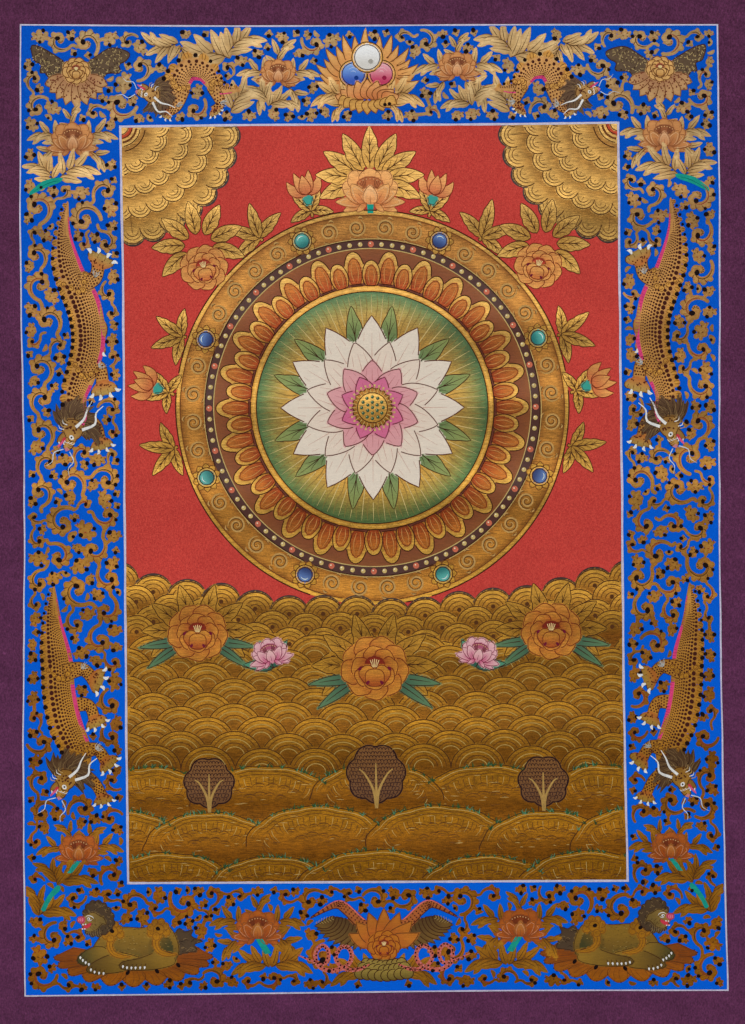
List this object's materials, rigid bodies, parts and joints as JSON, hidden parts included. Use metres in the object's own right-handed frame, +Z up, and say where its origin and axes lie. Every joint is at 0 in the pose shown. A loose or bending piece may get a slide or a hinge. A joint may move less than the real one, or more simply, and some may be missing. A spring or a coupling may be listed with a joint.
{
  "type": "thangka scroll painting",
  "caption": "Tall painted cotton canvas that hangs flat from its top edge, with a plum margin, a blue and gold scrollwork border and a red and gold centre panel.",
  "frame": {"origin": "middle of the top edge, where the canvas is held", "axes": "+Z up along the hanging canvas, the painted face looks along -Y, +X to the viewer's right"},
  "size_m": [0.6333, 0.0029, 0.8472],
  "materials": {
    "canvas": "primed cotton canvas painted a matt plum, fine woven grain"
  },
  "bodies": {
    "root": {"painted_canvas": "canvas"}
  },
  "joints": []
}
